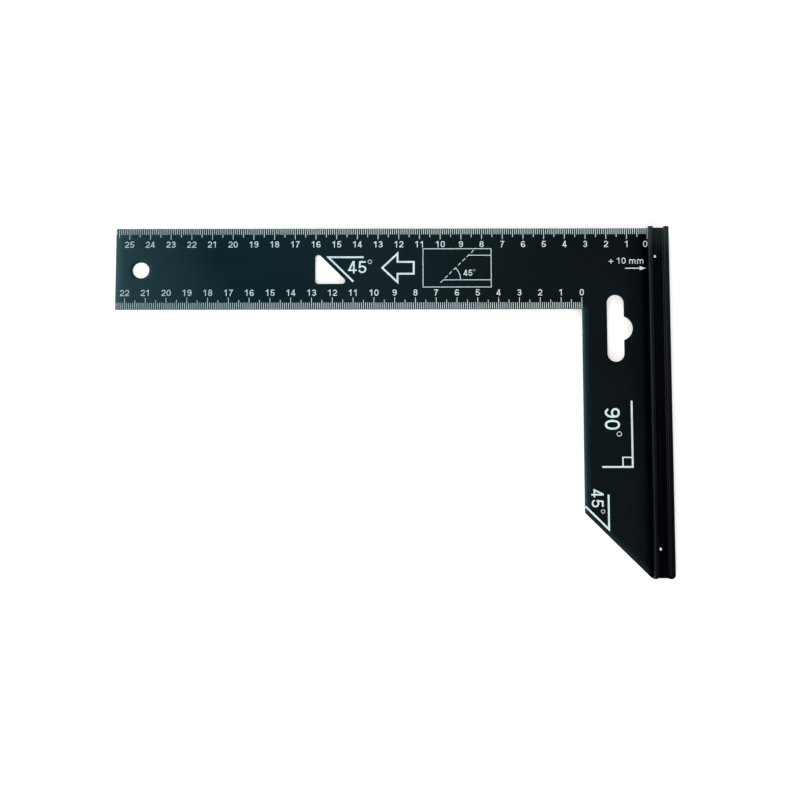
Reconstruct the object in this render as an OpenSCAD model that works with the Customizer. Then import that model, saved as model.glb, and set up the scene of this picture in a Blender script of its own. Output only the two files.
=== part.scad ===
// Try and mitre square: an L-shaped steel blade pinned into the slot of an aluminium stock.
// It lies flat with +X along the blade towards the stock, +Y along the stock towards the
// blade's outer edge, and +Z up. The shapes below are drawn from the corner where the scales
// start (fence face, outer edge, middle of the sheet) and then moved to the part's origin.

/* [Blade] */
// Length of the blade, from the fence face to its free end
blade_l = 256.5; // [200:0.5:320]
// Width of the blade, from its outer edge to its inner edge
blade_w = 40; // [36:0.5:60]
// Thickness of the steel sheet
sheet_t = 1.2; // [0.8:0.1:2]
// Radius of the two corners at the blade's free end
blade_corner_r = 0.3; // [0.2:0.1:4]
// Radius in the inside corner, between blade and arm
inside_corner_r = 0.4; // [0.2:0.1:3]

/* [Arm] */
// Length of the arm along the stock, from the blade's outer edge
arm_l = 170; // [140:1:240]
// Width of the arm, from the fence face to its inner edge
arm_w = 32; // [26:0.5:40]
// Square end left on the arm between the mitre edge and the fence face
mitre_land = 0.9; // [0.5:0.1:6]
// Radius where the mitre edge meets the arm's inner edge
mitre_corner_r = 0.5; // [0.2:0.1:4]

/* [Scribing window] */
// Distance of the window's upright side from the fence face
window_x = 160.2; // [80:0.2:180]
// Distance of the window's lower side from the blade's outer edge
window_y = 27.4; // [22:0.2:32]
// Length of the window's two straight sides, measured to sharp corners
window_leg = 16.4; // [10:0.2:20]
// Radius of the window's corners
window_corner_r = 1.5; // [0.5:0.1:2]

/* [Hanging hole and slot] */
// Diameter of the hole near the blade's free end
hang_hole_d = 7.9; // [5:0.1:12]
// Distance of the hole's centre from the blade's free end
hang_hole_inset = 12.2; // [8:0.1:20]
// Distance of the hole's centre below the blade's middle line
hang_hole_drop = 0.6; // [-4:0.1:4]
// Width of the long slot in the arm
hang_slot_w = 8; // [6:0.1:10]
// Length of the long slot, over its round ends
hang_slot_l = 32.8; // [24:0.2:44]
// Distance of the slot's middle from the blade's outer edge
hang_slot_y = 49.5; // [40:0.5:80]
// Radius of the round notch for a hook, in the slot's side towards the stock
hook_notch_r = 6.05; // [5:0.05:7]
// Distance of the notch's centre from the slot's middle line
hook_notch_offset = 2.15; // [1:0.05:3]

/* [Stock] */
// Width of the stock, from the fence face to its back
stock_w = 10; // [8.5:0.1:14]
// Thickness of the stock, from ridge to ridge
stock_t = 10; // [9:0.1:14]
// Width of the ridges along the fence face
inner_ridge_w = 2.4; // [1.8:0.1:2.8]
// Width of the ridges along the back
outer_ridge_w = 2.5; // [1.8:0.1:3.2]
// Depth of the grooves between the ridges
groove_d = 3.2; // [1.5:0.1:3.4]
// Distance of the stock's ends inside the ends of the blade's tongue
stock_end_inset = 0.1; // [0:0.05:0.5]
// Radius of the stock's edges along the fence face
fence_edge_r = 0.8; // [0.2:0.05:1]
// Radius of the ridges' edges beside the grooves
groove_edge_r = 0.4; // [0.1:0.05:0.6]
// Radius of the fillets along the groove floors
groove_floor_r = 0.4; // [0.1:0.05:0.8]
// Radius of the stock's edges along its back
back_edge_r = 0.4; // [0.2:0.05:1]
// Chamfer around the stock's two ends
end_chamfer = 0.15; // [0.1:0.05:0.6]

/* [Pins and fits] */
// Diameter of the two pins
pin_d = 1.4; // [1:0.1:1.8]
// Distance of the upper pin from the blade's outer edge
upper_pin_inset = 14.4; // [6:0.2:30]
// Distance of the lower pin from the arm's end
lower_pin_inset = 13.6; // [6:0.2:30]
// Height of the pins' crowned ends above the groove floors
pin_proud = 0.3; // [0.2:0.05:0.6]
// Radius of the pins' crowned ends
pin_crown_r = 1; // [0.95:0.05:1.4]
// Groove floor left between a pin and the inner ridge
pin_ridge_gap = 0.2; // [0.1:0.05:0.8]
// Steel left in the blade's tongue beyond the pin holes
tongue_land = 2.4; // [1.2:0.1:3]
// Gap between the sheet and each side of the stock's slot
slot_fit = 0.05; // [0.02:0.01:0.2]
// Gap between the tongue's edge and the bottom of the slot
slot_end_gap = 0.2; // [0.1:0.05:0.6]
// Radial gap between the pins and the blade's holes
pin_hole_gap = 0.05; // [0.02:0.01:0.2]

/* [Hidden] */
$fn = 96;

// Length by which cutting shapes run past what they cut
overcut = 1;

// The pins stand beside the inner ridges, and the tongue reaches past them
pin_x = inner_ridge_w + pin_ridge_gap + pin_d / 2;
upper_pin_y = -upper_pin_inset;
lower_pin_y = lower_pin_inset - arm_l;
tongue_d = pin_x + pin_d / 2 + tongue_land;

// The slot takes the tongue, and the stock is as long as the tongue less its insets
slot_h = sheet_t + 2 * slot_fit;
slot_d = tongue_d + slot_end_gap;
stock_half = stock_t / 2;
groove_floor_z = stock_half - groove_d;
stock_l = arm_l - 2 * stock_end_inset;
pin_l = 2 * (groove_floor_z + pin_proud);
pin_shaft_l = pin_l - 2 * pin_crown_r;

// The mitre edge runs at 45 degrees from the arm's inner edge to the square land
mitre_y = -arm_l + arm_w - mitre_land;

function unit(v) = v / norm(v);

// Point of an outline, counted round it in either direction
function around(points, i) = points[(i + len(points)) % len(points)];

// Area between a sharp corner at v and the arc of radius r that rounds it,
// with u and w the directions of the two sides that meet there
module corner_piece(v, u, w, r) {
  half_angle = acos(u * w) / 2;
  inward = unit(u + w);
  centre = v + inward * r / sin(half_angle);
  tangent_l = r / tan(half_angle);
  difference() {
    polygon([centre, v + w * tangent_l, v - inward * r, v + u * tangent_l]);
    translate(centre) circle(r);
  }
}

// Outline through points, counter-clockwise, with each corner rounded by its own radius:
// outer corners lose their corner piece and inner corners gain one
module rounded_outline(points, radii) {
  module pieces(inner) {
    for (i = [0:len(points) - 1]) {
      u = unit(around(points, i - 1) - points[i]);
      w = unit(around(points, i + 1) - points[i]);
      if (radii[i] > 0 && (cross(u, w) > 0) == inner) corner_piece(points[i], u, w, radii[i]);
    }
  }
  difference() {
    union() {
      polygon(points);
      pieces(inner = true);
    }
    pieces(inner = false);
  }
}

// Moves a shape from the scales' starting corner to the part's origin,
// which is under the middle of the whole square
module in_part_frame() {
  translate([(blade_l - stock_w) / 2, arm_l / 2, stock_half]) children();
}

// L-shaped outline of the sheet, with the tongue that goes into the stock
module blade_outline() {
  rounded_outline(
    [
      [-blade_l, 0],
      [-blade_l, -blade_w],
      [-arm_w, -blade_w],
      [-arm_w, mitre_y],
      [-mitre_land, -arm_l],
      [tongue_d, -arm_l],
      [tongue_d, 0]
    ],
    [blade_corner_r, blade_corner_r, inside_corner_r, mitre_corner_r, 0, 0, 0]
  );
}

// Round hole on which the square hangs from a nail
module hang_hole() {
  translate([hang_hole_inset - blade_l, -blade_w / 2 - hang_hole_drop]) circle(d = hang_hole_d);
}

// Three-cornered window with a 45 degree edge to scribe along
module scribing_window() {
  translate([-window_x, -window_y])
    rounded_outline(
      [[0, 0], [window_leg, 0], [0, window_leg]],
      [window_corner_r, window_corner_r, window_corner_r]
    );
}

// Long slot with round ends and a round notch, for a display hook
module hang_slot() {
  straight_l = hang_slot_l - hang_slot_w;
  translate([-arm_w / 2, -hang_slot_y]) {
    square([hang_slot_w, straight_l], center = true);
    for (end = [-1, 1]) translate([0, end * straight_l / 2]) circle(d = hang_slot_w);
    translate([hook_notch_offset, 0]) circle(hook_notch_r);
  }
}

// Holes in the tongue through which the pins pass
module pin_clearance_holes() {
  for (y = [upper_pin_y, lower_pin_y]) translate([pin_x, y]) circle(pin_d / 2 + pin_hole_gap);
}

// Steel sheet: blade, arm and tongue in one piece
module blade() {
  color([0.07, 0.11, 0.13])
    in_part_frame()
      linear_extrude(sheet_t, center = true)
        difference() {
          blade_outline();
          hang_hole();
          scribing_window();
          hang_slot();
          pin_clearance_holes();
        }
}

// Cross-section of the stock: ridges and a groove on both faces, and the slot in the fence face.
// The upper half is listed from the back to the slot, and the lower half mirrors it
module stock_profile() {
  upper = [
    [stock_w, stock_half],
    [stock_w - outer_ridge_w, stock_half],
    [stock_w - outer_ridge_w, groove_floor_z],
    [inner_ridge_w, groove_floor_z],
    [inner_ridge_w, stock_half],
    [0, stock_half],
    [0, slot_h / 2],
    [slot_d, slot_h / 2]
  ];
  upper_radii = [
    back_edge_r, groove_edge_r, groove_floor_r, groove_floor_r, groove_edge_r, fence_edge_r, 0, 0
  ];
  last = len(upper) - 1;
  lower = [for (i = [last:-1:0]) [upper[i].x, -upper[i].y]];
  lower_radii = [for (i = [last:-1:0]) upper_radii[i]];
  rounded_outline(concat(upper, lower), concat(upper_radii, lower_radii));
}

// Square bars laid along the edges of the stock's ends, which cut their chamfers
module end_chamfer_bars() {
  bar = end_chamfer * sqrt(2);
  for (y = [-stock_end_inset, -stock_end_inset - stock_l]) {
    for (side = [-1, 1])
      translate([stock_w / 2, y, side * stock_half])
        rotate([45, 0, 0])
          cube([stock_w + 2 * overcut, bar, bar], center = true);
    for (x = [0, stock_w])
      translate([x, y, 0])
        rotate([0, 0, 45])
          cube([bar, bar, stock_t + 2 * overcut], center = true);
  }
}

// Extruded bar that guides the square along a board, drilled for the pins
module stock() {
  color([0.08, 0.08, 0.09])
    in_part_frame()
      difference() {
        translate([0, -stock_end_inset, 0])
          rotate([90, 0, 0])
            linear_extrude(stock_l) stock_profile();
        for (y = [upper_pin_y, lower_pin_y])
          translate([pin_x, y, 0]) cylinder(d = pin_d, h = stock_t + 2 * overcut, center = true);
        end_chamfer_bars();
      }
}

// Crowned end of a pin, standing on its shaft
module pin_crown() {
  intersection() {
    cylinder(d = pin_d, h = pin_crown_r);
    sphere(pin_crown_r);
  }
}

// Steel pin with crowned ends, driven through both webs of the stock and the tongue between them
module pin(y) {
  color([0.82, 0.84, 0.86])
    in_part_frame()
      translate([pin_x, y, 0]) {
        cylinder(d = pin_d, h = pin_shaft_l, center = true);
        for (end = [0, 180]) rotate([end, 0, 0]) translate([0, 0, pin_shaft_l / 2]) pin_crown();
      }
}

module upper_pin() pin(upper_pin_y);

module lower_pin() pin(lower_pin_y);

blade();
stock();
upper_pin();
lower_pin();
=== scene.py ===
"""Looks of a try and mitre square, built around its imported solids.

The print is laid out in millimetres on the blade's face, the way the scales are read: x runs from
the fence face, negative towards the blade's free end, and y from the outer edge, negative towards
the arm's end. Meshes are in metres, in the part's own frame.
"""

import logging
import math
from abc import ABC, abstractmethod
from dataclasses import dataclass, field, replace
from enum import Enum
from functools import cached_property, reduce
from typing import ClassVar

import bpy
import numpy as np
from mathutils import Matrix, Vector
from mathutils.geometry import delaunay_2d_cdt


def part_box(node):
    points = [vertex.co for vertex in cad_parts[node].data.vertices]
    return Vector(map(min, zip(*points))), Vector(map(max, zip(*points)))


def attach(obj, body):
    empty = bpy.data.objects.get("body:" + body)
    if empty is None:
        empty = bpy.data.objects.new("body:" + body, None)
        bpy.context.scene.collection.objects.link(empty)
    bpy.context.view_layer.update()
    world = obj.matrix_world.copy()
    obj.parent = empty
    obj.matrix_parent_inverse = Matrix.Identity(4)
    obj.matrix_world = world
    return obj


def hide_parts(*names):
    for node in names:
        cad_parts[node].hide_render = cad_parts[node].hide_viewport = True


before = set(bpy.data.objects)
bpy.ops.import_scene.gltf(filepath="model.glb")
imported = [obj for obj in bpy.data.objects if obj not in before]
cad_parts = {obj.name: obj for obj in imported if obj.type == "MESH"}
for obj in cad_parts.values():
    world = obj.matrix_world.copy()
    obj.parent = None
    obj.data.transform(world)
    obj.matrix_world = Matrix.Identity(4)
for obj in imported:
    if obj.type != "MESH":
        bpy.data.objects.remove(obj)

LOG = logging.getLogger("try_and_mitre_square")

MM = 0.001
BODY = "root"

# Places on the sheet are kept to a fine binary grid, so that they survive single precision unchanged
GRID = 1024

Array = np.ndarray
Point = tuple[float, float]
Span = tuple[float, float]
Triple = tuple[float, float, float]
Colour = tuple[float, float, float, float]
Object = bpy.types.Object
Material = bpy.types.Material
Socket = bpy.types.NodeSocket
Inputs = dict[str | int, object]


def snapped(places: Array) -> Array:
    """Rounds places in millimetres to the nearest point of the fine grid."""
    return np.round(places * GRID) / GRID


def normals(run: Array) -> Array:
    """Gives the unit vectors to the left of directions."""
    unit = run / np.linalg.norm(run, axis=1, keepdims=True)
    return np.stack([-unit[:, 1], unit[:, 0]], axis=1)


def mitres(before: Array, after: Array) -> Array:
    """Gives (m + n) / (1 + m.n) for two sides' normals: d times it is at a distance d from both."""
    return (before + after) / (1 + (before * after).sum(1, keepdims=True))


def parted(start: Array, run: Array, step: float) -> tuple[Array, Array]:
    """Cuts straight sides into equal parts.

    Args:
        start: Where each side starts, two to a row.
        run: Vector from there to the side's end.
        step: Greatest length of a part.

    Returns:
        Where the parts start, side after side, and how many parts each side has.
    """
    parts = np.ceil(np.linalg.norm(run, axis=1) / step).astype(int)
    owner = np.repeat(np.arange(len(parts)), parts)
    share = (np.arange(parts.sum()) - (np.cumsum(parts) - parts)[owner]) / parts[owner]
    return start[owner] + run[owner] * share[:, None], parts


def boundary_edges(triangles: Array) -> Array:
    """Finds the rim of a triangulated area: the directed edges that no neighbour runs back along.

    Args:
        triangles: Vertex indices, three to a row, counter-clockwise.

    Returns:
        Start and end indices, with the area on the left of each edge.
    """
    edges = np.vstack([triangles[:, pair] for pair in ([0, 1], [1, 2], [2, 0])])
    count = triangles.max() + 1
    forward = edges[:, 0] * count + edges[:, 1]
    backward = edges[:, 1] * count + edges[:, 0]
    return edges[~np.isin(forward, backward)]


def new_object(name: str, data: bpy.types.ID) -> Object:
    """Puts a mesh, a lamp or a camera into the scene.

    Args:
        name: Name of the object.
        data: What it shows.

    Returns:
        The object, at the origin.
    """
    thing = bpy.data.objects.new(name, data)
    bpy.context.scene.collection.objects.link(thing)
    return thing


def mesh_object(name: str, vertices: Array, faces: list[Array], material: Material) -> Object:
    """Puts arrays of vertices and faces into a new object.

    Args:
        name: Name of the object and of its mesh.
        vertices: Places in millimetres in the part's frame, three to a row.
        faces: Arrays of vertex indices, each with faces of one number of corners.
        material: Finish of the whole surface.

    Returns:
        The object, smooth shaded.
    """
    mesh = bpy.data.meshes.new(name)
    corners = [corner for block in faces for corner in block.tolist()]
    mesh.from_pydata((vertices * MM).tolist(), [], corners)
    mesh.validate()
    mesh.shade_smooth()
    mesh.materials.append(material)
    return new_object(name, mesh)


def shell(name: str, levels: list[Array], triangles: Array, rim: Array,
          material: Material, slot: str) -> Object:
    """Builds a piece as a closed skin: a top, an underside, and walls from one rim to the other.

    Args:
        name: Name of the piece.
        levels: Vertices of the top, any rings between and the underside, each with the same rim.
        triangles: Faces of the top, which are turned over for the underside.
        rim: Start and end indices of the rim's edges, with the top on their left.
        material: Finish of the whole piece.
        slot: Not used.

    Returns:
        The piece, riding on the part's body.
    """
    starts = np.cumsum([0, *map(len, levels[:-1])])
    here, there = rim.T
    walls = [
        np.stack([below + here, below + there, above + there, above + here], axis=1)
        for above, below in zip(starts, starts[1:])
    ]
    faces = [triangles, triangles[:, ::-1] + starts[-1], *walls]
    piece = mesh_object(name, np.vstack(levels), faces, material)
    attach(piece, BODY)
    return piece


@dataclass(frozen=True)
class Outline:
    """Closed edges of a sheet and of its openings, as directed segments with the sheet on their left."""

    points: Array
    edges: Array

    def sides(self) -> tuple[Array, Array]:
        """Gives where each edge starts, and the vector from there to its end."""
        start, end = self.points[self.edges].swapaxes(0, 1)
        return start, end - start

    def distance(self, places: Array) -> Array:
        """Measures how far places lie from the nearest edge.

        Each place is dropped onto every segment at t = (p - a).(b - a) / |b - a|^2, held between
        0 and 1, and the shortest of the drops is kept.

        Args:
            places: Points in millimetres, two to a row.

        Returns:
            One distance for each place.
        """
        start, run = self.sides()
        reach = places[:, None, :] - start
        share = np.clip((reach * run).sum(2) / (run**2).sum(1), 0, 1)
        return np.linalg.norm(reach - share[:, :, None] * run, axis=2).min(1)

    def split(self) -> tuple["Outline", "Outline"]:
        """Parts the outer edge from the edges of the openings.

        Every point takes the lowest number found along its loop, with the stride along the loop
        doubled at each pass.

        Returns:
            The loop that reaches furthest towards -x, and all the others.
        """
        ahead = np.zeros(len(self.points), int)
        ahead[self.edges[:, 0]] = self.edges[:, 1]
        loop = np.arange(len(self.points))
        for _ in range(len(self.points).bit_length()):
            loop = np.minimum(loop, loop[ahead])
            ahead = ahead[ahead]
        outer = loop[self.edges[:, 0]] == loop[self.points[:, 0].argmin()]
        return Outline(self.points, self.edges[outer]), Outline(self.points, self.edges[~outer])

    def refined(self, step: float) -> "Outline":
        """Cuts long edges into equal parts.

        Args:
            step: Greatest length of a part.

        Returns:
            An outline in which edge i starts at point i.
        """
        points, parts = parted(*self.sides(), step)
        first = np.cumsum(parts) - parts
        leaving = np.zeros(len(self.points), int)
        leaving[self.edges[:, 0]] = first
        following = np.arange(1, len(points) + 1)
        following[first + parts - 1] = leaving[self.edges[:, 1]]
        return Outline(points, np.stack([np.arange(len(points)), following], axis=1))

    def inward(self) -> Array:
        """Gives the mitres into the sheet, on an outline in which edge i starts at point i.

        Returns:
            One vector for each point.
        """
        after = normals(self.sides()[1])
        before = np.empty_like(after)
        before[self.edges[:, 1]] = after
        return mitres(before, after)


class Axis(Enum):
    """Axes of the part."""

    ALONG_BLADE = "X"
    ALONG_STOCK = "Y"
    UP = "Z"


class Operation(Enum):
    """Ways to join two values."""

    ADD = "ADD"
    MULTIPLY = "MULTIPLY"
    MAXIMUM = "MAXIMUM"


class Wiring:
    """Node tree of a material or of the world, filled through short calls."""

    def __init__(self, owner: Material | bpy.types.World) -> None:
        """Turns on the owner's nodes."""
        owner.use_nodes = True
        self.tree = owner.node_tree

    def fill(self, node: bpy.types.Node, inputs: Inputs) -> None:
        """Gives a node's inputs their values or links.

        Args:
            node: Node to fill.
            inputs: Values or sockets, by the names or numbers of the inputs.
        """
        for name, value in inputs.items():
            if isinstance(value, Socket):
                self.tree.links.new(value, node.inputs[name])
            else:
                node.inputs[name].default_value = value

    def add(self, kind: str, inputs: Inputs, output: str | int = 0, **settings: str) -> Socket:
        """Adds a node.

        Args:
            kind: Type of the node, without its prefix.
            inputs: Values or sockets, by the names or numbers of the inputs.
            output: Name or number of the output to use.
            settings: Other properties of the node.

        Returns:
            The socket of that output.
        """
        node = self.tree.nodes.new(f"ShaderNode{kind}")
        for name, value in settings.items():
            setattr(node, name, value)
        self.fill(node, inputs)
        return node.outputs[output]

    def joined(self, operation: Operation, *values: Socket | float) -> Socket:
        """Joins values one after the other."""
        return reduce(lambda a, b: self.add("Math", {0: a, 1: b}, operation=operation.value), values)

    def ranged(self, source: Socket, given: Span, wanted: Span, soft: bool = False) -> Socket:
        """Maps one range of a value onto another, and holds it at the ends.

        Args:
            source: Socket with the value.
            given: Ends of the value's own range.
            wanted: What it becomes there.
            soft: Whether it eases in and out.

        Returns:
            The socket with the mapped value.
        """
        ends = {"From Min": given[0], "From Max": given[1], "To Min": wanted[0], "To Max": wanted[1]}
        course = "SMOOTHSTEP" if soft else "LINEAR"
        return self.add("MapRange", {"Value": source, **ends}, interpolation_type=course)

    def ramp(self, source: Socket, stops: dict[float, Triple]) -> Socket:
        """Blends colours along a value.

        Args:
            source: Socket with the value.
            stops: Colours by the values at which they stand, in rising order.

        Returns:
            The socket with the colour.
        """
        colour = self.add("ValToRGB", {"Fac": source})
        elements = colour.node.color_ramp.elements
        first, *between, last = stops
        elements[0].position = first
        elements[1].position = last
        for place in between:
            elements.new(place)
        for element, levels in zip(elements, stops.values()):
            element.color = (*levels, 1.0)
        return colour


@dataclass(frozen=True)
class Noise:
    """Noise on a surface: features per metre along x, y and z, and octaves of finer noise on top."""

    stretch: Triple
    detail: float


class Finish(Wiring, ABC):
    """Look of a surface: one material, with its patterns on the part's own coordinates."""

    title: ClassVar[str]
    noise_middle: ClassVar[Span] = (0.3, 0.7)

    def __post_init__(self) -> None:
        """Makes the material and fills it."""
        self.material = bpy.data.materials.new(self.title)
        super().__init__(self.material)
        self.places = self.add("TexCoord", {}, "Object")
        self.dress()

    @abstractmethod
    def dress(self) -> None:
        """Fills the material."""

    def set(self, **values: object) -> None:
        """Fills the shader's own inputs, named with underscores for spaces."""
        inputs = {name.replace("_", " "): value for name, value in values.items()}
        self.fill(self.tree.nodes["Principled BSDF"], inputs)

    def noise(self, noise: Noise) -> Socket:
        """Adds a noise, from 0 to 1."""
        stretched = self.add("Mapping", {"Vector": self.places, "Scale": noise.stretch})
        return self.add("TexNoise", {"Vector": stretched, "Scale": 1.0, "Detail": noise.detail})

    def spread(self, noise: Socket, wanted: Span) -> Socket:
        """Maps the middle of a noise onto a range."""
        return self.ranged(noise, self.noise_middle, wanted)

    def blended(self, noise: Socket, low: Triple, high: Triple) -> Socket:
        """Blends two colours across the middle of a noise."""
        return self.ramp(noise, dict(zip(self.noise_middle, (low, high))))

    def graded(self, axis: Axis, places: Span, wanted: Span) -> Socket:
        """Maps places along one axis of the part, in millimetres, onto a range with soft ends."""
        along = self.add("SeparateXYZ", {"Vector": self.places}, axis.value)
        return self.ranged(along, (places[0] * MM, places[1] * MM), wanted, soft=True)

    def relief(self, *layers: tuple[Socket, float]) -> None:
        """Stacks bumps on the surface.

        Args:
            layers: Noises, each with its height in millimetres.
        """
        below: Inputs = {}
        for noise, height in layers:
            below = {"Normal": self.add("Bump", {"Distance": height * MM, "Height": noise, **below})}
        self.set(**below)


@dataclass
class BladeCoating(Finish):
    """Blue-black coating on rolled sheet: grain along the blade, a fine peel, and faint clouds.

    Painted shade darkens its colour slowly towards the stock and nearly to black right beside the
    fence, where it is also dull, and a painted reflection turns it to a cooler blue over the half
    with the free end. Each change is given by the distances from the fence at which it starts and
    ends, and by the value at its end.
    """

    fence_x: float
    title = "blade_coating_finish"
    grain: Noise = Noise((70, 2600, 2600), 3)
    peel: Noise = Noise((1500, 1500, 1500), 2)
    clouds: Noise = Noise((22, 30, 30), 4)
    deep: Triple = (0.0004, 0.0006, 0.0014)
    lifted: Triple = (0.0058, 0.0087, 0.0100)
    lift: Span = (0.545, 0.61)
    # Painted shade: the colour darkens towards the stock, and more right beside the fence
    shade: Triple = (14.0, 4.0, 0.84)
    fence_shade: Triple = (5.2, 0.8, 0.58)
    # Painted reflection: a bluer colour over the half with the free end, standing for the cool light
    # reflected there
    cooled: Colour = (0.3, 1.0, 1.0, 1.0)
    cooling: Triple = (200.0, 150.0, 0.0)
    tint: Colour = (0.36, 0.85, 1.0, 1.0)
    specular: float = 0.5
    dull: Triple = (3.0, 0.8, 0.03)
    roughness: Span = (0.10, 0.14)
    grain_roughness: Span = (-0.01, 0.01)
    peel_h: float = 0.0012
    grain_h: float = 0.0006

    def towards_fence(self, change: Triple, level: float = 1.0) -> Socket:
        """Grades a value from its level on the open blade by one of the changes."""
        far, near, end = change
        return self.graded(Axis.ALONG_BLADE, (self.fence_x - far, self.fence_x - near), (level, end))

    def dress(self) -> None:
        """Fills the material."""
        grain, peel, clouds = map(self.noise, (self.grain, self.peel, self.clouds))
        # Painted shade towards the fence, times the clouds, sets how far the colour is lifted
        shades = map(self.towards_fence, (self.shade, self.fence_shade))
        lift = self.joined(Operation.MULTIPLY, *shades, self.spread(clouds, self.lift))
        # The colour is turned towards the painted reflection's blue over the half with the free end
        painted_tint_mix = {
            "Fac": self.towards_fence(self.cooling),
            "Color1": self.blended(lift, self.deep, self.lifted),
            "Color2": self.cooled,
        }
        roughness = self.spread(clouds, self.roughness), self.spread(grain, self.grain_roughness)
        self.set(
            Base_Color=self.add("MixRGB", painted_tint_mix, blend_type="MULTIPLY"),
            Specular_Tint=self.tint,
            Specular_IOR_Level=self.towards_fence(self.dull, self.specular),
            Roughness=self.joined(Operation.ADD, *roughness),
        )
        self.relief((peel, self.peel_h), (grain, self.grain_h))


@dataclass
class StockAnodising(Finish):
    """Black anodising on an extrusion: die lines along it, smooth grooves, satin ridges, dull sawn ends.

    Its colour is painted lighter and tealer over the upper end, as painted light, and its gloss grows
    from the lower end to the upper one.
    """

    groove_z: float
    ridge_z: float
    ends_y: Span
    title = "stock_anodising_finish"
    lines: Noise = Noise((3800, 9, 3800), 2)
    speckle: Noise = Noise((2600, 2600, 2600), 2)
    bands: Noise = Noise((420, 5, 420), 2)
    deep: Triple = (0.0004, 0.0004, 0.0014)
    # Painted light: the colour turns lighter and tealer over the last millimetres at the upper end
    faded: Triple = (0.010, 0.019, 0.020)
    banding: Span = (0.30, 0.31)
    fade: float = 0.4
    fade_l: float = 16.0
    tint: Colour = (0.78, 0.95, 1.0, 1.0)
    specular: Span = (0.17, 0.36)
    sawn: float = 0.1
    roughness: Span = (0.12, 0.17)
    ridge_roughness: float = 0.16
    line_roughness: Span = (-0.03, 0.03)
    speckle_h: float = 0.002
    line_h: float = 0.003

    def dress(self) -> None:
        """Fills the material."""
        lines, speckle, bands = map(self.noise, (self.lines, self.speckle, self.bands))
        low, high = self.ends_y
        along = Axis.ALONG_STOCK
        gloss = (
            self.graded(along, (low, low + self.sawn), (0.0, 1.0)),
            self.graded(along, (high - self.sawn, high), (1.0, 0.0)),
            self.graded(along, self.ends_y, self.specular),
        )
        # Random bands plus the painted light at the upper end
        bands_and_light = (
            self.spread(bands, self.banding),
            self.graded(along, (high - self.fade_l, high), (0.0, self.fade)),
        )
        roughness = (
            self.spread(bands, self.roughness),
            self.graded(Axis.UP, (self.groove_z, self.ridge_z), (0.0, self.ridge_roughness)),
            self.spread(lines, self.line_roughness),
        )
        self.set(
            Base_Color=self.blended(self.joined(Operation.ADD, *bands_and_light), self.deep, self.faded),
            Specular_Tint=self.tint,
            Specular_IOR_Level=self.joined(Operation.MULTIPLY, *gloss),
            Roughness=self.joined(Operation.ADD, *roughness),
        )
        self.relief((speckle, self.speckle_h), (lines, self.line_h))


@dataclass
class PinSteel(Finish):
    """Bright drawn steel, blasted to an even white sheen at the crowned ends."""

    title = "pin_steel_finish"
    marks: Noise = Noise((5200, 5200, 900), 3)
    deep: Triple = (0.88, 0.89, 0.90)
    lifted: Triple = (0.94, 0.95, 0.95)
    metallic: float = 0.5
    roughness: Span = (0.30, 0.42)
    mark_h: float = 0.002

    def dress(self) -> None:
        """Fills the material."""
        marks = self.noise(self.marks)
        colour = self.blended(marks, self.deep, self.lifted)
        self.set(Metallic=self.metallic, Base_Color=colour, Roughness=self.spread(marks, self.roughness))
        self.relief((marks, self.mark_h))


@dataclass
class ScaleInk(Finish):
    """White printed ink, a little thinner in places, with painted shade that darkens it towards the
    blade's free end.
    """

    free_end_x: float
    title = "scale_ink_finish"
    grain: Noise = Noise((2400, 2400, 2400), 3)
    patches: Noise = Noise((160, 160, 160), 3)
    thin: Triple = (0.32, 0.475, 0.52)
    full: Triple = (0.63, 0.79, 0.82)
    cover: Span = (0.56, 0.70)
    grain_cover: Span = (-0.06, 0.06)
    # Painted shade: the ink's colour darkens over this length from the free end
    wear: float = -0.30
    worn_l: float = 130.0
    roughness: Span = (0.45, 0.60)
    grain_h: float = 0.002

    def dress(self) -> None:
        """Fills the material."""
        grain, patches = map(self.noise, (self.grain, self.patches))
        # The ink is darkened towards the free end as painted shade
        free_end_span = (self.free_end_x, self.free_end_x + self.worn_l)
        cover = (
            self.spread(patches, self.cover),
            self.spread(grain, self.grain_cover),
            self.graded(Axis.ALONG_BLADE, free_end_span, (self.wear, 0.0)),
        )
        self.set(
            Base_Color=self.blended(self.joined(Operation.ADD, *cover), self.thin, self.full),
            Roughness=self.spread(patches, self.roughness),
        )
        self.relief((grain, self.grain_h))


@dataclass
class FloorPaint(Finish):
    """Pale matt floor with a glow where it is seen, in gloss or directly, so that it is white."""

    title = "floor_finish"
    colour: Colour = (0.8, 0.8, 0.8, 1.0)
    roughness: float = 0.9
    glow: float = 0.48
    seen_by: tuple[str, ...] = ("Is Camera Ray", "Is Glossy Ray", "Is Transmission Ray")

    def dress(self) -> None:
        """Fills the material."""
        rays = self.add("LightPath", {}).node.outputs
        seen = self.joined(Operation.MAXIMUM, *(rays[name] for name in self.seen_by))
        self.set(
            Base_Color=self.colour,
            Roughness=self.roughness,
            Specular_IOR_Level=0.0,
            Emission_Strength=self.joined(Operation.MULTIPLY, seen, self.glow),
        )


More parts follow.
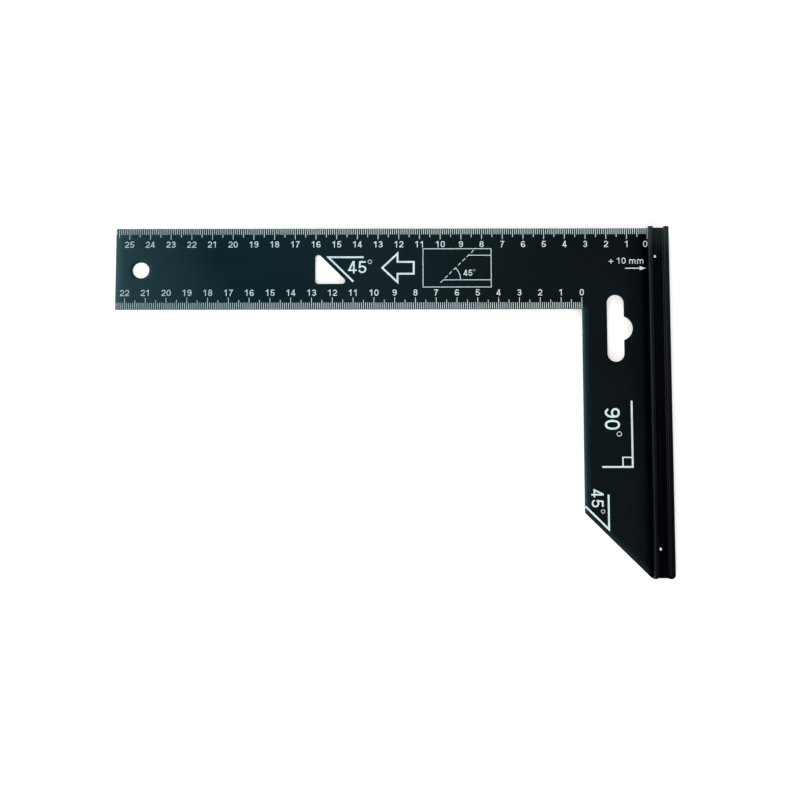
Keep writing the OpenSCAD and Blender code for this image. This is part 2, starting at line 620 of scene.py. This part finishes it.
@dataclass
class SheetBlade:
    """Blanked steel sheet: its faces roll off a little at every edge, and the edges are broken."""

    node: str = "blade"
    slot: str = "blade_coating"
    roll_w: float = 3.5
    roll_h: Span = (0.10, 0.26)
    opening_roll_w: float = 1.2
    opening_roll_h: float = 0.03
    edge_r: float = 0.15
    edge_steps: int = 4
    longest_part: float = 3.0
    ring_insets: tuple[float, ...] = (0.05, 0.5, 1.1, 1.9, 2.7, 3.4)
    ring_room: float = 0.9
    low: Array = field(init=False)
    high: Array = field(init=False)
    fence_x: float = field(init=False)
    outline: Outline = field(init=False)

    def __post_init__(self) -> None:
        """Reads the sheet's place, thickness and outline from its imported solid."""
        self.low, self.high = (np.array(corner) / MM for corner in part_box(self.node))
        self.fence_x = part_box("stock")[0].x / MM
        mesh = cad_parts[self.node].data
        mesh.calc_loop_triangles()
        vertices = np.empty((len(mesh.vertices), 3))
        mesh.vertices.foreach_get("co", vertices.ravel())
        vertices /= MM
        triangles = np.empty((len(mesh.loop_triangles), 3), int)
        mesh.loop_triangles.foreach_get("vertices", triangles.ravel())
        upper = np.isclose(vertices[triangles][:, :, 2], self.high[2]).all(1)
        places = snapped(vertices[:, :2] - (self.fence_x, self.high[1]))
        points, merged = np.unique(places, axis=0, return_inverse=True)
        self.outline = Outline(points, boundary_edges(merged.reshape(-1)[triangles[upper]]))

    def to_part(self, places: Array, heights: Array) -> Array:
        """Turns places as the scales are read, and heights above the sheet's middle, into vertices."""
        middle_z = (self.high[2] + self.low[2]) / 2
        return np.column_stack([places + (self.fence_x, self.high[1]), heights + middle_z])

    def height(self, places: Array) -> Array:
        """Gives the face's height above the sheet's middle.

        It is t/2 less h (1 - d/w)^2 at a distance d from an edge, with the width w and the drop h
        of the outer edge's roll and those of the openings' rolls. The outer edge's drop grows evenly
        from the free end to the fence.

        Args:
            places: Points on the face, in millimetres, two to a row.

        Returns:
            One height for each place.
        """
        outer, openings = self.outline.split()
        half_t = (self.high[2] - self.low[2]) / 2
        drop = np.interp(places[:, 0], (self.outline.points[:, 0].min(), 0.0), self.roll_h)
        near_edge = np.clip(1 - outer.distance(places) / self.roll_w, 0, 1)
        near_opening = np.clip(1 - openings.distance(places) / self.opening_roll_w, 0, 1)
        return half_t - drop * near_edge**2 - self.opening_roll_h * near_opening**2

    def face(self, rim: Outline) -> tuple[Array, Array]:
        """Fills the sheet's face with triangles that are closer together along its edges.

        Rings of points follow the rim all along, on the sheet's side, so a triangle with all its
        corners on the rim lies outside the sheet and is left out.

        Args:
            rim: Outline of the face, inside the rounded edge.

        Returns:
            Points that start with the rim's own, and the triangles between them.
        """
        inward = rim.inward()
        rings = np.vstack([rim.points + inward * inset for inset in self.ring_insets])
        room = np.repeat(self.ring_insets, len(rim.points)) + self.edge_r
        kept = rings[self.outline.distance(rings) > self.ring_room * room]
        points = np.vstack([rim.points, np.unique(snapped(kept), axis=0)])
        whole_hull = 0
        same_place = 0.1 / GRID
        corners = list(map(Vector, points.tolist()))
        _, _, faces, *_ = delaunay_2d_cdt(corners, rim.edges.tolist(), [], whole_hull, same_place, False)
        triangles = np.array(faces)
        return points, triangles[(triangles >= len(rim.points)).any(1)]

    def build(self) -> Object:
        """Carries a rounded edge round the outline and closes it with the two faces.

        The edge's profile is a quarter circle of radius r at each face, inset r (1 - sin a) and
        dropped r (1 - cos a) for a from 0 to 90 degrees.

        Returns:
            The blade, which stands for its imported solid.
        """
        edge = self.outline.refined(self.longest_part)
        inward = edge.inward()
        rim = Outline(snapped(edge.points + inward * self.edge_r), edge.edges)
        points, triangles = self.face(rim)
        heights = self.height(points)
        shoulder = heights[: len(rim.points)]
        turn = np.linspace(0, math.pi / 2, self.edge_steps + 1)[1:]
        quarter = self.edge_r * np.stack([1 - np.sin(turn), 1 - np.cos(turn)], axis=1)
        rings = [
            self.to_part(edge.points + inward * inset, side * (shoulder - drop))
            for side, steps in ((1, quarter), (-1, quarter[::-1]))
            for inset, drop in steps
        ]
        top, underside = (self.to_part(points, side * heights) for side in (1, -1))
        coating = BladeCoating(self.fence_x).material
        piece = shell("blade_sheet", [top, *rings, underside], triangles, edge.edges, coating, self.slot)
        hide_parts(self.node)
        return piece


@dataclass(frozen=True)
class Patch:
    """Flat printed area: points in millimetres and the triangles between them."""

    points: Array
    triangles: Array

    def placed(self, at: Point, size: float = 1.0, degrees: float = 0.0) -> "Patch":
        """Scales the area, turns it about its origin and moves it.

        Args:
            at: Where the origin goes.
            size: Factor of scale.
            degrees: Turn, counter-clockwise.

        Returns:
            The area in its new place.
        """
        c, s = math.cos(math.radians(degrees)), math.sin(math.radians(degrees))
        turn = np.array([[c, s], [-s, c]])
        return Patch(self.points @ turn * size + at, self.triangles)


def gathered(*patches: Patch) -> Patch:
    """Puts areas that don't overlap into one.

    Args:
        patches: The areas.

    Returns:
        One area, with the triangles renumbered.
    """
    offsets = np.cumsum([0, *(len(patch.points) for patch in patches[:-1])])
    points = np.vstack([patch.points for patch in patches])
    return Patch(points, np.vstack([p.triangles + n for p, n in zip(patches, offsets)]))


@dataclass(frozen=True)
class Stroke:
    """Centre line of a pen stroke, with the width of the pen."""

    path: Array
    width: float
    closed: bool = False
    level: bool = False
    longest_cell: float = 2.0

    def ribbon(self) -> Array:
        """Carries a straight profile of the stroke's width along its path.

        Long sides are cut first, so that the stroke can follow a face that isn't flat. At each point
        the profile lies along the mitre of the two sides. A level stroke keeps its profile along x,
        lengthened by one over the share of the stroke's direction that is upright, so that its ends
        are cut level.

        Returns:
            Four-cornered cells, counter-clockwise, as an array of cells, corners and coordinates.
        """
        path = np.vstack([self.path, self.path[:1]]) if self.closed else self.path
        starts, _ = parted(path[:-1], np.diff(path, axis=0), self.longest_cell)
        path = np.vstack([starts, path[-1:]])
        normal = normals(np.diff(path, axis=0))
        if self.level:
            slant = np.abs(np.vstack([normal[:1], normal])[:, 0])
            mitre = np.stack([-1 / slant, np.zeros_like(slant)], axis=1)
        else:
            first, last = (normal[-1:], normal[:1]) if self.closed else (normal[:1], normal[-1:])
            mitre = mitres(np.vstack([first, normal]), np.vstack([normal, last]))
        left = path + mitre * self.width / 2
        right = path - mitre * self.width / 2
        cells = np.stack([right[:-1], right[1:], left[1:], left[:-1]], axis=1)
        diagonals = cells[:, 2:] - cells[:, :2]
        area = diagonals[:, 0, 0] * diagonals[:, 1, 1] - diagonals[:, 0, 1] * diagonals[:, 1, 0]
        return np.where(area[:, None, None] > 0, cells, cells[:, ::-1])


def united(*strokes: Stroke) -> Patch:
    """Lays strokes over each other and cuts what they cover into triangles that don't overlap.

    Args:
        strokes: Strokes that may cross or touch.

    Returns:
        The area that they cover together.
    """
    cells = np.vstack([stroke.ribbon() for stroke in strokes])
    corners = list(map(Vector, cells.reshape(-1, 2).tolist()))
    faces = np.arange(len(corners)).reshape(-1, 4)
    inside = 1
    same_place = 1e-5
    found = delaunay_2d_cdt(corners, [], faces.tolist(), inside, same_place, True)
    points, _, triangles, _, _, sources = found
    covered = list(map(bool, sources))
    return Patch(np.array(points), np.array(triangles)[covered])


def line(*points: Point) -> Array:
    """Path through points."""
    return np.array(points, float)


def arc(centre: Point, radii: Span, start: float, stop: float, squareness: float = 2.0) -> Array:
    """Path along an oval, |x/a|^n + |y/b|^n = 1, at even steps of the angle.

    Args:
        centre: Middle of the oval.
        radii: Half its width a and half its height b.
        start: First angle, in degrees.
        stop: Last angle, in degrees.
        squareness: The power n, 2 for an ellipse.

    Returns:
        Points along the oval.
    """
    degrees_per_step = 15
    steps = max(2, round(abs(stop - start) / degrees_per_step))
    angle = np.radians(np.linspace(start, stop, steps + 1))
    share = np.stack([np.cos(angle), np.sin(angle)], axis=1)
    return np.array(centre) + np.array(radii) * np.sign(share) * np.abs(share) ** (2 / squareness)


def bend(*controls: Point) -> Array:
    """Path along the cubic (1-t)^3 p + 3(1-t)^2 t q + 3(1-t) t^2 r + t^3 s.

    Args:
        controls: The four points p, q, r and s.

    Returns:
        Points along the curve.
    """
    steps = 8
    t = np.linspace(0, 1, steps + 1)[:, None]
    p, q, r, s = np.array(controls, float)
    return (1 - t) ** 3 * p + 3 * (1 - t) ** 2 * t * q + 3 * (1 - t) * t**2 * r + t**3 * s


@dataclass(frozen=True)
class Lettering:
    """Plain numerals and signs drawn with a pen, in heights of a numeral and centred on x = 0."""

    weight: float = 0.132
    ring_weight: float = 0.045
    pitch: float = 0.78
    rooms: ClassVar[dict[str, float]] = {" ": 0.36, "+": 0.84, "m": 1.21, "°": 0.42}

    @cached_property
    def glyphs(self) -> dict[str, Patch]:
        """Areas of all characters, cut once."""
        drawings = self.numerals() | self.signs()
        return {character: united(*strokes) for character, strokes in drawings.items()}

    def pen(self, path: Array, closed: bool = False, level: bool = False) -> Stroke:
        """Makes a stroke of the lettering's weight."""
        return Stroke(path, self.weight, closed, level)

    def bar(self, *points: Point, level: bool = False) -> Stroke:
        """Makes a straight stroke through points."""
        return self.pen(line(*points), level=level)

    def oval(self, centre: Point, radii: Span, squareness: float = 2.2) -> Stroke:
        """Makes a closed oval stroke."""
        return self.pen(arc(centre, radii, 90, 450, squareness)[:-1], closed=True)

    def numerals(self) -> dict[str, list[Stroke]]:
        """Draws the numerals: 2 swings from its bowl into its foot, and 9 is a 6 turned over.

        Returns:
            Strokes by numeral.
        """
        pen, bar, oval = self.pen, self.bar, self.oval
        bowl = arc((0, 0.665), (0.245, 0.255), 172, -40)
        swing = bend(tuple(bowl[-1]), (0.03, 0.306), (-0.24, 0.30), (-0.245, 0.08))
        leg = bend((0.235, 0.93), (0.05, 0.68), (-0.1, 0.40), (-0.125, 0))
        six = [oval((0.005, 0.30), (0.245, 0.22)), pen(arc((0.02, 0.5), (0.275, 0.42), 38, 212))]
        return {
            "0": [oval((0, 0.5), (0.255, 0.42), 2.3)],
            "1": [bar((0.06, 0), (0.06, 1)), pen(arc((-0.27, 1.02), (0.30, 0.275), -90, -18))],
            "2": [pen(np.vstack([bowl, swing[1:]])), bar((-0.32, 0.08), (0.32, 0.08))],
            "3": [
                pen(arc((-0.01, 0.715), (0.225, 0.205), 168, -90)),
                pen(arc((-0.01, 0.295), (0.25, 0.215), 90, -168)),
                bar((-0.1, 0.51), (0.0, 0.51)),
            ],
            "4": [
                bar((0.115, 0), (0.115, 1)),
                bar((-0.345, 0.245), (0.335, 0.245)),
                bar((-0.285, 0.2), (0.10, 1), level=True),
            ],
            "5": [
                bar((-0.2, 0.92), (0.28, 0.92)),
                bar((-0.175, 0.96), (-0.225, 0.42), level=True),
                pen(arc((-0.005, 0.325), (0.26, 0.245), 148, -165)),
            ],
            "6": six,
            "7": [bar((-0.31, 0.92), (0.32, 0.92)), pen(leg, level=True)],
            "8": [oval((0, 0.72), (0.22, 0.20)), oval((0, 0.30), (0.25, 0.22))],
            "9": [replace(stroke, path=line((0, 1)) - stroke.path) for stroke in six],
        }

    def signs(self) -> dict[str, list[Stroke]]:
        """Draws the plus, the small m with its two arches, and the degree sign as a thin ring.

        Returns:
            Strokes by sign.
        """
        arches = [
            np.vstack([arc((x, 0.45), (0.21, 0.215), 180, 0), line((x + 0.21, 0))])
            for x in (-0.21, 0.21)
        ]
        ring = arc((0, 0.93), (0.145, 0.145), 0, 360)[:-1]
        return {
            "+": [self.bar((-0.36, 0.38), (0.36, 0.38)), self.bar((0, 0.02), (0, 0.74))],
            "m": [self.bar((-0.42, 0), (-0.42, 0.735)), *map(self.pen, arches)],
            "°": [Stroke(ring, self.ring_weight, closed=True)],
        }


class Anchor(Enum):
    """Part of a line of text that stands at its given place."""

    START = 0.0
    MIDDLE = 0.5


class Reading(Enum):
    """Direction in which a line of text is read, as a turn in degrees."""

    ALONG_BLADE = 0.0
    DOWN_ARM = -90.0


@dataclass(frozen=True)
class Words:
    """Line of text: its characters, the height of a numeral, and where its anchor stands on its foot.

    Tracking is extra room for each character, in heights of a numeral.
    """

    text: str
    height: float
    at: Point
    anchor: Anchor = Anchor.START
    reading: Reading = Reading.ALONG_BLADE
    tracking: float = 0.0
    lettering: Lettering = Lettering()

    def patch(self) -> Patch:
        """Sets the characters side by side.

        Returns:
            The area of the whole line.
        """
        letters = self.lettering
        rooms = np.array([letters.rooms.get(character, letters.pitch) for character in self.text])
        rooms += self.tracking
        middles = np.cumsum(rooms) - rooms / 2 - self.anchor.value * rooms.sum()
        glyphs = [
            letters.glyphs[character].placed((middle, 0.0))
            for character, middle in zip(self.text, middles.tolist())
            if character != " "
        ]
        return gathered(*glyphs).placed(self.at, self.height, self.reading.value)


@dataclass
class InkPress:
    """Lays printed areas on the blade's face as thin films."""

    sheet: SheetBlade
    finish: ScaleInk
    slot: str = "scale_ink"
    proud: float = 0.02
    sunk: float = 0.02

    def lay(self, name: str, patch: Patch) -> Object:
        """Thickens an area into a closed film.

        Args:
            name: Name of the piece.
            patch: Area to print, as the scales are read.

        Returns:
            The film, following the face's height.
        """
        face = self.sheet.height(patch.points)
        levels = [self.sheet.to_part(patch.points, face + lift) for lift in (self.proud, -self.sunk)]
        rim = boundary_edges(patch.triangles)
        piece = shell(name, levels, patch.triangles, rim, self.finish.material, self.slot)
        piece.data.shade_flat()
        return piece


class Print(ABC):
    """Something printed on the blade in one or more pieces."""

    @abstractmethod
    def patches(self) -> dict[str, Patch]:
        """Draws what is printed, by the names of the pieces."""

    def build(self, press: InkPress) -> list[Object]:
        """Prints every piece."""
        return [press.lay(name, patch) for name, patch in self.patches().items()]


@dataclass
class Scale(Print):
    """Millimetre scale along one edge of the blade, numbered in centimetres."""

    name: str
    zero_x: float
    edge_y: float
    into_blade: int
    length: int
    mark_lengths: Triple
    number_foot: float
    zero_number_shift: float = 0.0
    number_h: float = 3.15
    mark_w: float = 0.30
    edge_gap: float = 0.15
    number_step: int = 10
    half_step: int = 5
    mark_cells: int = 4
    cell_growth: float = 1.5

    def marks(self) -> Patch:
        """Draws every mark as a strip of cells from the edge inwards, on a grid of marks, cells and sides.

        Returns:
            All the marks, with cells that grow away from the edge.
        """
        reading = np.arange(self.length + 1)
        every, half, whole = self.mark_lengths
        steps = (self.number_step, self.half_step)
        tall = np.select([reading % step == 0 for step in steps], [whole, half], every)
        along = np.linspace(0, 1, self.mark_cells + 1) ** self.cell_growth
        depth = self.edge_gap + along * (tall - self.edge_gap)[:, None]
        side = np.array([-0.5, 0.5]) * self.mark_w * self.into_blade
        x = np.broadcast_to((self.zero_x - reading)[:, None, None] + side, (*depth.shape, 2))
        y = np.broadcast_to((self.edge_y + self.into_blade * depth)[:, :, None], x.shape)
        index = np.arange(x.size).reshape(x.shape)
        a, b = index[:, :-1, 0], index[:, :-1, 1]
        c, d = index[:, 1:, 1], index[:, 1:, 0]
        halves = [np.stack(corners, axis=-1).reshape(-1, 3) for corners in ((a, b, c), (a, c, d))]
        return Patch(np.stack([x.ravel(), y.ravel()], axis=1), np.vstack(halves))

    def numbers(self) -> Patch:
        """Sets a number at every centimetre.

        Returns:
            All the numbers.
        """
        places = [self.zero_x - reading for reading in range(0, self.length + 1, self.number_step)]
        places[0] += self.zero_number_shift
        return gathered(*(
            Words(str(number), self.number_h, (place, self.number_foot), Anchor.MIDDLE).patch()
            for number, place in enumerate(places)
        ))

    def patches(self) -> dict[str, Patch]:
        """Draws the marks and the numbers."""
        return {f"{self.name}_marks": self.marks(), f"{self.name}_numbers": self.numbers()}


@dataclass
class AngleSign(Print):
    """Two lines from a corner, the angle between them in figures, and a small square in a right angle."""

    name: str
    corner: Point
    sides: tuple[Point, Point]
    angle: Words
    square: tuple[Point, ...] = ()
    line_w: float = 0.88
    square_w: float = 0.6

    def patches(self) -> dict[str, Patch]:
        """Draws the sign.

        Returns:
            The sign by its name.
        """
        first, second = self.sides
        strokes = [Stroke(line(first, (0, 0), second) + self.corner, self.line_w)]
        if self.square:
            strokes.append(Stroke(line(*self.square) + self.corner, self.square_w))
        return {self.name: gathered(united(*strokes), self.angle.patch())}


@dataclass
class DirectionArrow(Print):
    """Arrow in outline that points to the free end."""

    tip: Point = (-128.0, -19.6)
    head_l: float = 7.4
    head_half: float = 7.1
    shaft_end: float = -112.8
    shaft_half: float = 2.93
    line_w: float = 0.88

    def patches(self) -> dict[str, Patch]:
        """Draws the arrow.

        Returns:
            The arrow by its name.
        """
        x, y = self.tip
        neck = x + self.head_l
        half = line((neck, self.head_half), (neck, self.shaft_half), (self.shaft_end, self.shaft_half))
        contour = np.vstack([self.tip, half * (1, -1) + (0, y), half[::-1] + (0, y)])
        return {"direction_arrow": united(Stroke(contour, self.line_w, closed=True))}


@dataclass
class MitrePictogram(Print):
    """Framed drawing of a mitred board end: two edges, a dashed cut and the angle that it makes."""

    low: Point = (-108.5, -29.3)
    high: Point = (-75.3, -10.0)
    line_w: float = 0.34
    board_low: float = -25.6
    board_high: float = -13.4
    cut_foot: float = -98.6
    dash_l: float = 1.9
    dash_gap: float = 1.1
    arc_r: float = 8.4
    angle: Words = Words("45°", 3.0, (-89.0, -23.6))

    def patches(self) -> dict[str, Patch]:
        """Draws the frame, the board and the angle.

        Returns:
            The drawing by its name.
        """
        x0, y0 = np.array(self.low) + self.line_w / 2
        x1, y1 = np.array(self.high) - self.line_w / 2
        foot = np.array((self.cut_foot, self.board_low))
        rise = self.board_high - self.board_low
        paths = [
            line(foot, (x1, self.board_low)),
            line(foot + rise, (x1, self.board_high)),
            arc(tuple(foot), (self.arc_r, self.arc_r), 0, 45),
        ]
        cut_end = rise * math.sqrt(2) + self.dash_l
        for start in np.arange(-self.dash_l, cut_end, self.dash_l + self.dash_gap):
            paths.append(foot + np.outer((start, start + self.dash_l), (1, 1)) / math.sqrt(2))
        border = Stroke(line((x0, y0), (x1, y0), (x1, y1), (x0, y1)), self.line_w, closed=True)
        drawing = united(border, *(Stroke(path, self.line_w) for path in paths))
        return {"mitre_pictogram": gathered(drawing, self.angle.patch())}


@dataclass
class BackReadingNote(Print):
    """Note that a reading from the stock's back is 10 mm longer, over an arrow to the stock."""

    note: Words = Words("+ 10 mm", 3.12, (-19.0, -17.78), lettering=Lettering(weight=0.112))
    arrow_start: float = -10.9
    arrow_tip: Point = (-0.75, -19.97)
    shaft_w: float = 0.45
    head_l: float = 3.2
    head_half: float = 1.0
    overlap: float = 0.1

    def patches(self) -> dict[str, Patch]:
        """Draws the note and its arrow.

        Returns:
            The note by its name.
        """
        x, y = self.arrow_tip
        neck = x - self.head_l
        shaft = united(Stroke(line((self.arrow_start, y), (neck + self.overlap, y)), self.shaft_w))
        corners = line((neck, y - self.head_half), self.arrow_tip, (neck, y + self.head_half))
        head = Patch(corners, np.array([[0, 1, 2]]))
        return {"back_reading_note": gathered(self.note.patch(), shaft, head)}


@dataclass
class Stock:
    """Extruded bar and the two pins that hold the blade in its slot."""

    bar: str = "stock"
    pins: tuple[str, str] = ("upper_pin", "lower_pin")
    satin_h: float = 1.5

    def dress(self) -> list[Object]:
        """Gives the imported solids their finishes, with the bar's satin as far down as its ridges.

        Returns:
            The bar and the pins.
        """
        crown_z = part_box(self.pins[0])[1].z / MM
        low, high = (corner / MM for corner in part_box(self.bar))
        anodising = StockAnodising(crown_z, high.z - self.satin_h, (low.y, high.y))
        finishes = {self.bar: anodising.material} | dict.fromkeys(self.pins, PinSteel().material)
        for node, material in finishes.items():
            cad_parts[node].material_slots[0].material = material
        return [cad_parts[node] for node in finishes]


@dataclass(frozen=True)
class Lamp:
    """Soft square lamp that faces the part, with its place and size in metres."""

    name: str
    place: Triple
    watts: float
    size: float = 1.8

    def build(self) -> None:
        """Hangs the lamp."""
        light = bpy.data.lights.new(self.name, "AREA")
        light.size = self.size
        light.energy = self.watts
        lamp = new_object(self.name, light)
        lamp.location = self.place
        lamp.rotation_euler = (-Vector(self.place)).to_track_quat("-Z", "Y").to_euler()


@dataclass(frozen=True)
class PhotoCamera:
    """Camera above the square, leaning a little towards the arm's end.

    Its aim, distance and lens are in millimetres, its turns in degrees and clip_end in metres.
    """

    aim: Triple = (3.78, 0.524, 5.6)
    distance: float = 1217.0
    tilt: float = 10.8635
    pan: float = 0.1999
    roll: float = -0.0502
    lens: float = 114.75
    clip_end: float = 20.0

    def build(self) -> None:
        """Places the camera at its distance from the point it is aimed at, and makes it the scene's."""
        data = bpy.data.cameras.new("photo_camera")
        data.lens = self.lens
        data.clip_end = self.clip_end
        turn = Matrix.Identity(4)
        for degrees, axis in ((self.pan, "Y"), (self.tilt, "X"), (self.roll, "Z")):
            turn = turn @ Matrix.Rotation(math.radians(degrees), 4, axis)
        place = Vector(self.aim) + turn @ Vector((0, 0, self.distance))
        camera = new_object("photo_camera", data)
        camera.matrix_world = Matrix.Translation(place * MM) @ turn
        bpy.context.scene.camera = camera


@dataclass
class Studio:
    """Pale floor under the resting square, lamps, and a room that is light low down and dark overhead.

    The ceiling brightens from right to left in a soft band, blue at its foot and warm at its top. It is
    given as directions along x with the levels of red, green and blue there.
    """

    floor_half: float = 6.0
    walls: Span = (0.6, 0.1)
    wall_top: float = 0.55
    ceiling: tuple[tuple[float, ...], ...] = (
        (-0.45, 0.05, 0.05, 0.05),
        (-0.33, 3.0, 2.8, 2.7),
        (-0.23, 3.3, 3.0, 2.9),
        (-0.184, 2.6, 2.3, 2.3),
        (-0.15, 1.8, 1.68, 1.7),
        (-0.12, 1.8, 1.6, 1.65),
        (-0.112, 1.6, 1.5, 1.55),
        (-0.1, 0.3, 0.52, 0.64),
        (-0.085, 0.0, 0.17, 0.27),
        (-0.06, 0.0, 0.18, 0.24),
        (-0.04, 0.08, 0.27, 0.31),
        (-0.012, 0.38, 0.48, 0.44),
        (0.015, 0.14, 0.14, 0.14),
        (0.06, 0.01, 0.01, 0.01),
    )
    lamps: tuple[Lamp, ...] = (
        Lamp("left_panel", (-2.6, 0.6, 2.0), 16.0),
        Lamp("near_left_panel", (-0.9, -2.6, 2.1), 28.0),
        Lamp("near_right_panel", (1.6, -2.3, 2.1), 58.0),
        Lamp("far_panel", (0.4, 2.8, 2.0), 34.0),
    )

    def floor(self) -> None:
        """Lays the floor against the stock's lower edge at the fence and the blade's free end."""
        stock_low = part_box("stock")[0]
        blade_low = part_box("blade")[0]
        slope = (blade_low.z - stock_low.z) / (blade_low.x - stock_low.x)
        across = np.array([-1, 1, 1, -1]) * self.floor_half
        along = np.array([-1, -1, 1, 1]) * self.floor_half
        height = stock_low.z + (across - stock_low.x) * slope
        corners = np.stack([across, along, height], axis=1) / MM
        mesh_object("floor", corners, [np.array([[0, 1, 2, 3]])], FloorPaint().material)

    def room(self) -> None:
        """Shades the world: wall level at the horizon, blended into the ceiling's band by height."""
        world = bpy.data.worlds.new("studio_room")
        bpy.context.scene.world = world
        room = Wiring(world)
        direction = room.add("SeparateXYZ", {"Vector": room.add("TexCoord", {}, "Generated")}).node.outputs
        first, last = self.ceiling[0][0], self.ceiling[-1][0]
        stops = {(x - first) / (last - first): levels for x, *levels in self.ceiling}
        shades = {
            "Fac": room.ranged(direction["Z"], (0.0, self.wall_top), (0.0, 1.0), soft=True),
            "Color1": room.ranged(direction["X"], (-1.0, 1.0), self.walls),
            "Color2": room.ramp(room.ranged(direction["X"], (first, last), (0.0, 1.0)), stops),
        }
        room.fill(room.tree.nodes["Background"], {"Color": room.add("MixRGB", shades)})

    def build(self) -> None:
        """Sets the stage."""
        bpy.context.scene.view_settings.view_transform = "Standard"
        PhotoCamera().build()
        self.floor()
        self.room()
        for lamp in self.lamps:
            lamp.build()


def prints() -> list[Print]:
    """Lists what is printed on the blade.

    Returns:
        The prints, in the order of printing.
    """
    down = Reading.DOWN_ARM
    return [
        Scale(
            name="outer_scale", zero_x=0.0, edge_y=0.0, into_blade=-1, length=256,
            mark_lengths=(3.0, 4.42, 5.42), number_foot=-9.46, zero_number_shift=-1.05,
        ),
        Scale(
            name="inner_scale", zero_x=-32.0, edge_y=-40.0, into_blade=1, length=224,
            mark_lengths=(3.28, 4.6, 5.75), number_foot=-33.4, mark_w=0.285,
        ),
        AngleSign(
            name="window_angle_sign", corner=(-154.0, -14.3), sides=((17.05, 0), (12.1, -12.1)),
            angle=Words("45°", 6.1, (-144.75, -22.25)),
        ),
        DirectionArrow(),
        MitrePictogram(),
        BackReadingNote(),
        AngleSign(
            name="arm_angle_sign", corner=(-20.7, -146.9), sides=((0, 16.6), (-11.0, 11.0)),
            angle=Words("45°", 5.8, (-28.85, -127.2), reading=down, tracking=0.06),
        ),
        AngleSign(
            name="square_sign", corner=(-9.0, -117.0), sides=((0, 32.0), (-14.5, 0)),
            angle=Words("90°", 7.4, (-22.0, -88.0), reading=down),
            square=((0, 4.6), (-4.6, 4.6), (-4.6, 0)),
        ),
    ]


def main() -> None:
    """Builds the square and its stage, and logs each piece's face count and material slot."""
    logging.basicConfig(level=logging.INFO, format="%(message)s")
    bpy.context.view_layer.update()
    Studio().build()
    sheet = SheetBlade()
    pieces = [sheet.build(), *Stock().dress()]
    press = InkPress(sheet, ScaleInk(sheet.low[0]))
    for item in prints():
        pieces += item.build(press)
    for piece in pieces:
        LOG.info("%s: %d faces, %s", piece.name, len(piece.data.polygons), piece.material_slots[0].name)


if __name__ == "__main__":
    main()
